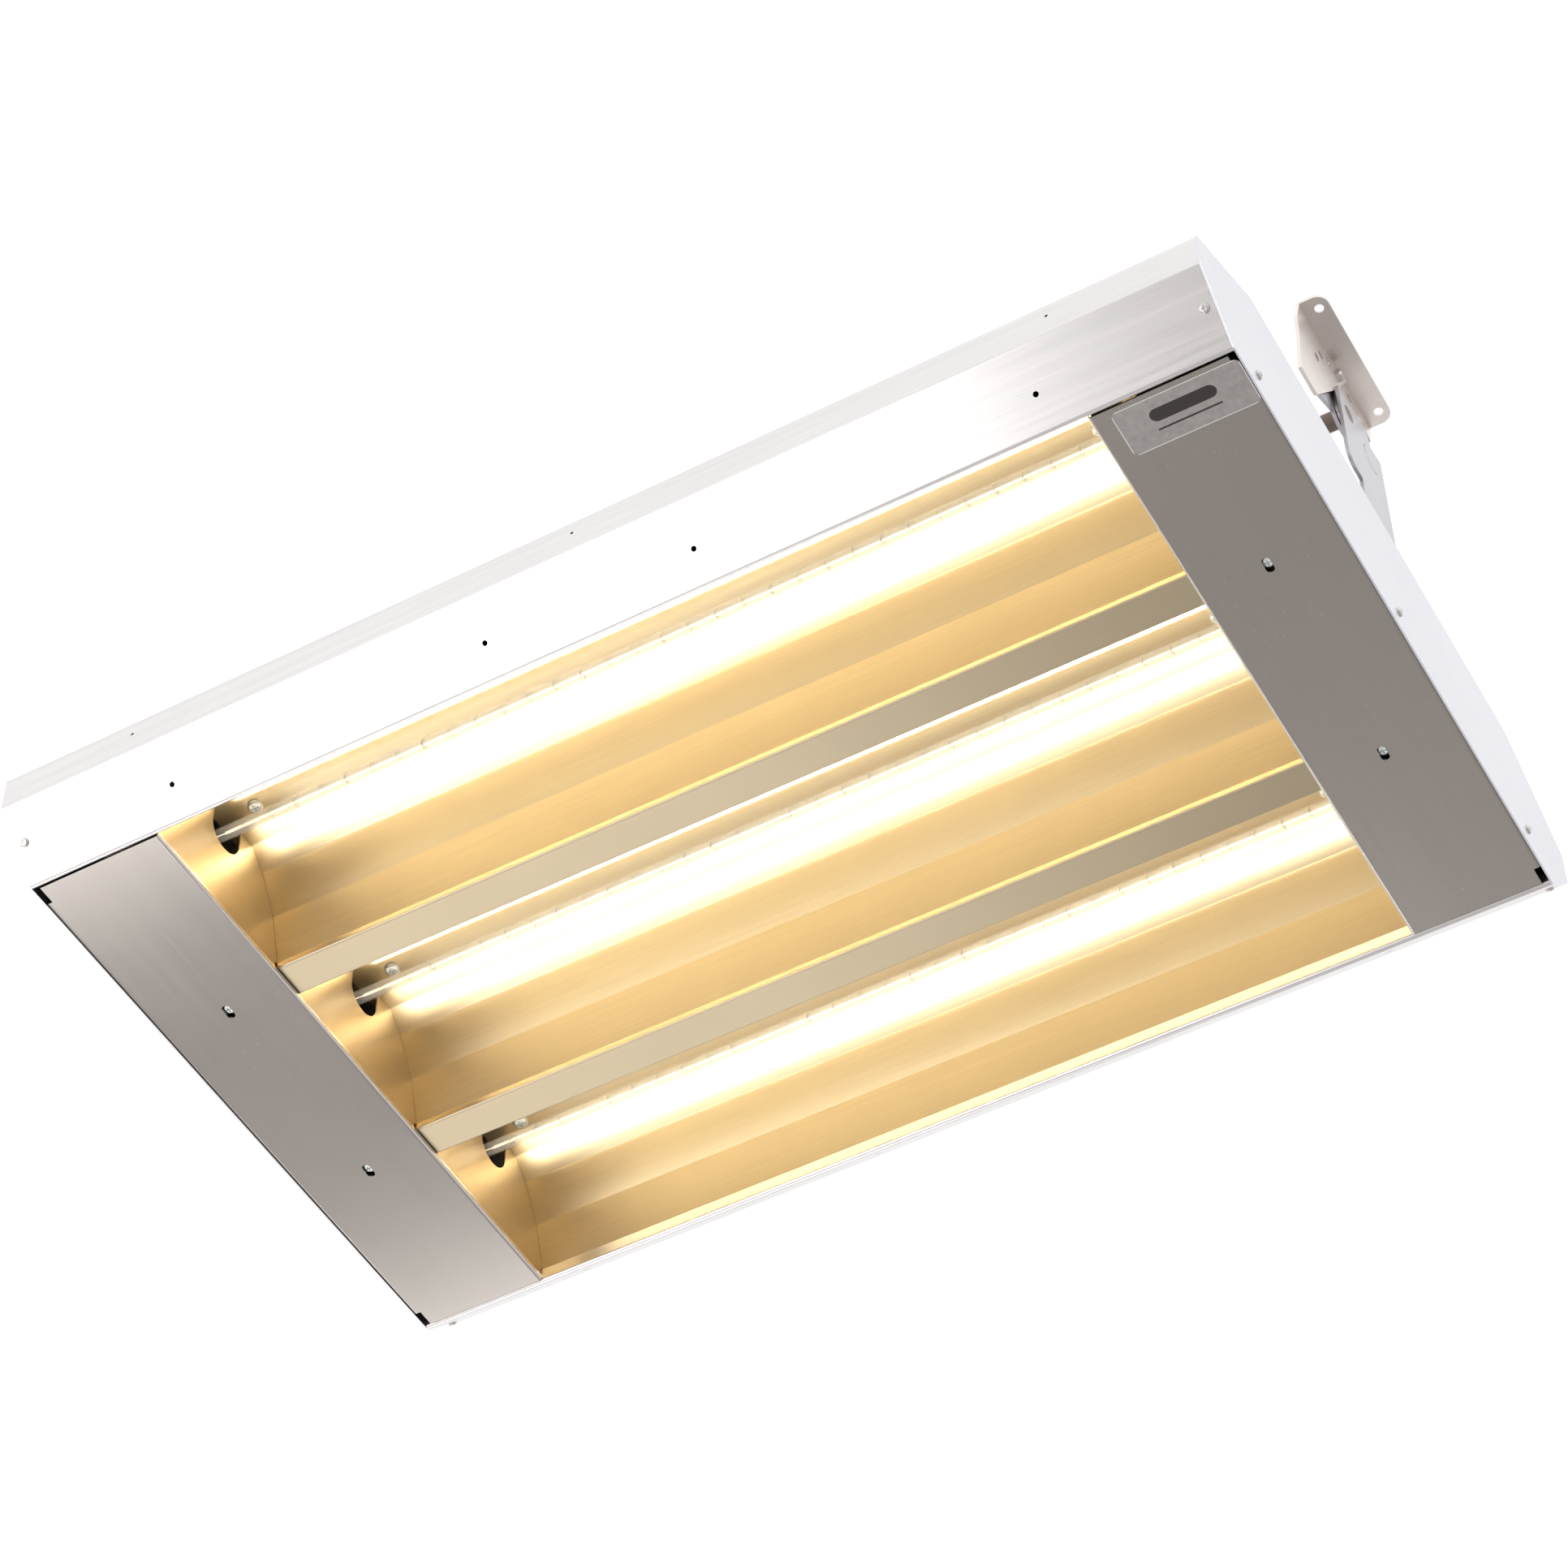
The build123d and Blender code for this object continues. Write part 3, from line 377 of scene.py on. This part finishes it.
def tungsten():
    m = Material("tungsten").set(Metallic=1.0)
    band = m.noise((90.0, 300.0, 300.0), detail=2.0)
    m.link("Base Color", m.ramp(band, *TONES["tungsten"]))
    m.link("Roughness", m.ramp(band, 0.35, 0.5))
    return m


def glowing_filament():
    m = Material("filament_glow").set(Metallic=1.0, Roughness=0.4)
    band = m.noise((40.0, 400.0, 400.0), detail=1.0)
    m.link("Base Color", m.ramp(band, *TONES["filament_glow"]))
    m.link("Emission Color", m.ramp(band, *GLOW_TONES))
    m.set(Emission_Strength=GLOW_STRENGTH)
    return m


def ceramic():
    m = Material("ceramic_body").set(Metallic=0.0)
    grit = m.noise(900.0)
    stain = m.noise(45.0, detail=4.0)
    m.link("Base Color", m.ramp(stain, *TONES["ceramic_body"]))
    m.link("Roughness", m.ramp(grit, 0.55, 0.75))
    m.bump(grit, 0.04 * MM, 0.5)
    return m


def braided_sleeve():
    m = Material("wire_sleeve").set(Metallic=0.0)
    strands = m.cells(900.0)
    soil = m.noise(60.0)
    m.link("Base Color", m.ramp(soil, *TONES["wire_sleeve"]))
    m.link("Roughness", m.ramp(strands, 0.65, 0.85, 0.1))
    m.bump(strands, 0.2 * MM, 0.7)
    return m


def blank_label():
    """Satin film over the steel, with a plain dark bar and a thin rule in place of any lettering."""
    low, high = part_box("label_plate")
    centre = (low + high) / 2
    m = Material("label_film").set(Metallic=0.35)
    x = m.math("ABSOLUTE", m.math("SUBTRACT", m.axis("X"), centre.x))
    y = m.math("SUBTRACT", m.axis("Y"), centre.y)
    edge_x = m.math("SUBTRACT", (high.x - low.x) / 2, x)
    edge_y = m.math("SUBTRACT", (high.y - low.y) / 2, m.math("ABSOLUTE", y))
    rim = m.math("LESS_THAN", m.math("MINIMUM", edge_x, edge_y), LABEL_RIM)
    bar_x = m.math("MAXIMUM", m.math("SUBTRACT", x, BAR_HALF), 0.0)
    bar_y = m.math("SUBTRACT", y, BAR_Y)
    bar = m.math("SQRT", m.math("ADD", m.math("POWER", bar_x, 2.0), m.math("POWER", bar_y, 2.0)))
    bar = m.math("LESS_THAN", bar, BAR_R)
    rule_y = m.math("LESS_THAN", m.math("ABSOLUTE", m.math("SUBTRACT", y, RULE_Y)), RULE_HALF_WIDTH)
    rule = m.math("MULTIPLY", rule_y, m.math("LESS_THAN", x, RULE_HALF_LENGTH))
    cloud = m.noise(260.0)
    bubbles = m.math("LESS_THAN", m.cells(260.0), 0.16)
    some = m.math("GREATER_THAN", m.noise(70.0, detail=1.0), 0.57)
    bubbles = m.math("MULTIPLY", bubbles, some)
    film = m.ramp(cloud, *TONES["label_film"])
    film = m.mix(m.math("MULTIPLY", bubbles, 0.5), film, LABEL_BUBBLE_COLOUR)
    film = m.mix(rim, film, LABEL_RIM_COLOUR)
    film = m.mix(m.math("MAXIMUM", bar, rule), film, LABEL_INK)
    m.link("Base Color", film)
    m.link("Roughness", m.ramp(cloud, 0.28, 0.42))
    m.bump(m.math("ADD", rim, bubbles), 0.04 * MM, 0.5)
    return m


def floor_finish():
    m = Material("floor_finish").set(Metallic=0.0, Roughness=0.8)
    cloud = m.noise(0.7, detail=5.0)
    m.link("Base Color", m.ramp(cloud, tinted(FLOOR_COLOUR, 0.98), tinted(FLOOR_COLOUR, 1.02)))
    return m


def paint(material, *names):
    """Give CAD nodes a finish."""
    for name in names:
        node = NODES[name]
        if not node.material_slots:
            node.data.materials.append(material.data)
        for entry in node.material_slots:
            entry.material = material.data


def with_side(stem):
    return [stem + "_" + side for side in SIDES]


def with_bay(stem):
    return [stem + "_" + bay for bay in BAYS]


# ---------------------------------------------------------------- pieces

WIRE_SIDES = 4
WIRE_END_GAP = 0.3 * MM       # between the coil's lead and the end of the CAD filament
COIL_R = 0.8 * MM
COIL_WIRE_R = 0.26 * MM
COIL_PITCH = 1.35 * MM
COIL_STEPS = 9                # points in a turn
COIL_END_GAP = 14 * MM        # the straight part at each end
COIL_LEAD_IN = 2 * MM         # from the straight part to the first turn
SUPPORT_WIRE_R = 0.22 * MM
SUPPORT_PITCH = 20 * MM
SUPPORT_END_GAP = 26 * MM
SUPPORT_STEPS = 45
SUPPORT_TURNS = 2.3
SUPPORT_LENGTH = 1.6 * MM
SUPPORT_OPENING = 1.8         # the spiral reaches its full radius after 1 / 1.8 of its steps
SUPPORT_SEED = 7


def mesh_object(name, verts, faces, material, body):
    mesh = bpy.data.meshes.new(name)
    mesh.from_pydata(verts, [], faces)
    mesh.polygons.foreach_set("use_smooth", [True] * len(faces))
    mesh.materials.append(material.data)
    mesh.update()
    piece = bpy.data.objects.new(name, mesh)
    bpy.context.scene.collection.objects.link(piece)
    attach(piece, body)
    return piece


def add_wire(verts, faces, points, r):
    """Add a closed wire of radius r along points to verts and faces."""
    first = len(verts)
    count = len(points)
    for i, point in enumerate(points):
        ahead = points[min(i + 1, count - 1)] - points[max(i - 1, 0)]
        ahead.normalize()
        across = ahead.cross(Vector((1, 0, 0)))
        if across.length < 0.01:
            across = ahead.cross(Vector((0, 0, 1)))
        across.normalize()
        up = across.cross(ahead)
        for k in range(WIRE_SIDES):
            turn = 2 * math.pi * k / WIRE_SIDES
            verts.append(point + (across * math.cos(turn) + up * math.sin(turn)) * r)
    for i in range(count - 1):
        for k in range(WIRE_SIDES):
            a = first + i * WIRE_SIDES + k
            b = first + i * WIRE_SIDES + (k + 1) % WIRE_SIDES
            faces.append((a, b, b + WIRE_SIDES, a + WIRE_SIDES))
    last = first + (count - 1) * WIRE_SIDES
    faces.append(tuple(first + k for k in range(WIRE_SIDES))[::-1])
    faces.append(tuple(last + k for k in range(WIRE_SIDES)))


def filament_coil(bay, material):
    """The wound coil, with a straight lead at each end."""
    low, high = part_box("filament_" + bay)
    centre = (low + high) / 2
    wound_half = (high.x - low.x) / 2 - COIL_END_GAP
    turns = int(2 * wound_half / COIL_PITCH)
    points = [Vector((low.x + WIRE_END_GAP, centre.y, centre.z))]
    points.append(Vector((centre.x - wound_half - COIL_LEAD_IN, centre.y, centre.z)))
    for i in range(turns * COIL_STEPS + 1):
        turn = 2 * math.pi * i / COIL_STEPS
        x = centre.x - wound_half + i * COIL_PITCH / COIL_STEPS
        y = centre.y + COIL_R * math.cos(turn)
        points.append(Vector((x, y, centre.z + COIL_R * math.sin(turn))))
    points.append(Vector((centre.x + wound_half + COIL_LEAD_IN, centre.y, centre.z)))
    points.append(Vector((high.x - WIRE_END_GAP, centre.y, centre.z)))
    verts, faces = [], []
    add_wire(verts, faces, points, COIL_WIRE_R)
    piece = mesh_object("coil_" + bay, verts, faces, material, HEATER)
    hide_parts("filament_" + bay)


def filament_supports(bay, material):
    """Wire spirals that hold the coil in the middle of the tube."""
    low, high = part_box("filament_" + bay)
    centre = (low + high) / 2
    inner = COIL_R + 2 * COIL_WIRE_R
    outer = (high.z - low.z) / 2 - SUPPORT_WIRE_R
    half = (high.x - low.x) / 2 - SUPPORT_END_GAP
    count = int(2 * half / SUPPORT_PITCH)
    rng = random.Random(SUPPORT_SEED)
    verts, faces = [], []
    for i in range(count + 1):
        middle = centre.x + (i - count / 2) * SUPPORT_PITCH
        start = rng.uniform(0, 2 * math.pi)
        points = []
        for k in range(SUPPORT_STEPS + 1):
            share = k / SUPPORT_STEPS
            r = inner + (outer - inner) * min(1, share * SUPPORT_OPENING)
            turn = start + 2 * math.pi * SUPPORT_TURNS * share
            x = middle + (share - 0.5) * SUPPORT_LENGTH
            y = centre.y + r * math.cos(turn)
            points.append(Vector((x, y, centre.z + r * math.sin(turn))))
        add_wire(verts, faces, points, SUPPORT_WIRE_R)
    mesh_object("supports_" + bay, verts, faces, material, HEATER)


# ---------------------------------------------------------------- the scene

add_camera()
add_world()
add_floor(floor_finish())
for light in STUDIO_LIGHTS:
    add_area(*light)
for bay in BAYS:
    add_lamp_light(bay)

cover_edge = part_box("end_cover_right")[0].x
rail_steel = brushed_steel("rail_steel", "x", 0.30, 0.07)
cover_steel = brushed_steel("cover_steel", "y", 0.21, 0.014, 0.9, vary=0.018, highlight_edge_x=cover_edge)
plate_steel = brushed_steel("plate_steel", "y", 0.36, 0.02, 0.5)
bracket_steel = brushed_steel("bracket_steel", "z", 0.34, 0.02)
hanger_steel = brushed_steel("hanger_steel", "y", 0.30, 0.03)
divider_steel = brushed_steel("divider_steel", "x", 0.34, 0.02)
inner_steel = plated("aluminised_steel", 0.45)
gold_sheet = gold("gold_reflector")
# the end panels' gold carries painted shade in its darker colour
end_gold_painted_shade = gold("end_panel_gold_painted_shade", 0.9)
zinc = plated("zinc_screw", 0.38)
fastener = plated("stainless_fastener", 0.30)
shaft_shaded_steel = plated("shaft_painted_shade", 0.34)
brass = plated("brass", 0.30)
rivet = plated("rivet", 0.32)
hub_zinc = plated("hub_zinc", 0.42)
glow = glowing_filament()
cold = tungsten()

paint(rail_steel, "front_rail", "back_rail", "top_panel")
paint(cover_steel, *with_side("end_cover"))
paint(plate_steel, *with_side("end_plate"))
paint(hanger_steel, *with_side("hanger"))
paint(bracket_steel, *with_side("fixture_plate"), *with_side("index_plate"))
paint(divider_steel, "divider_front", "divider_back")
paint(inner_steel, *with_side("socket_rail"), *with_side("cross_brace"), "heat_shield")
paint(gold_sheet, *with_bay("reflector"))
paint(end_gold_painted_shade, *[name for stem in with_bay("end_reflector") for name in with_side(stem)])
paint(quartz(), *with_bay("lamp_tube"))
paint(ceramic(), *with_bay("lamp_bases"), *with_bay("lamp_sockets"), "terminal_block")
paint(brass, "socket_contacts", "terminal_screws")
paint(braided_sleeve(), *with_side("lead_wires"))
paint(blank_label(), "label_plate")
paint(rivet, "roof_rivets")
paint(hub_zinc, "conduit_hub", "hub_locknut")
paint(zinc, "reflector_screws", "divider_screws")
paint(shaft_shaded_steel, "pivot_rod")
paint(fastener, "rail_screws", "end_plate_screws", "bracket_screws", "pivot_clips", "lock_bolts",
      "lock_nuts", "ground_stud")
for bay in BAYS:
    filament_coil(bay, glow)
    filament_supports(bay, cold)
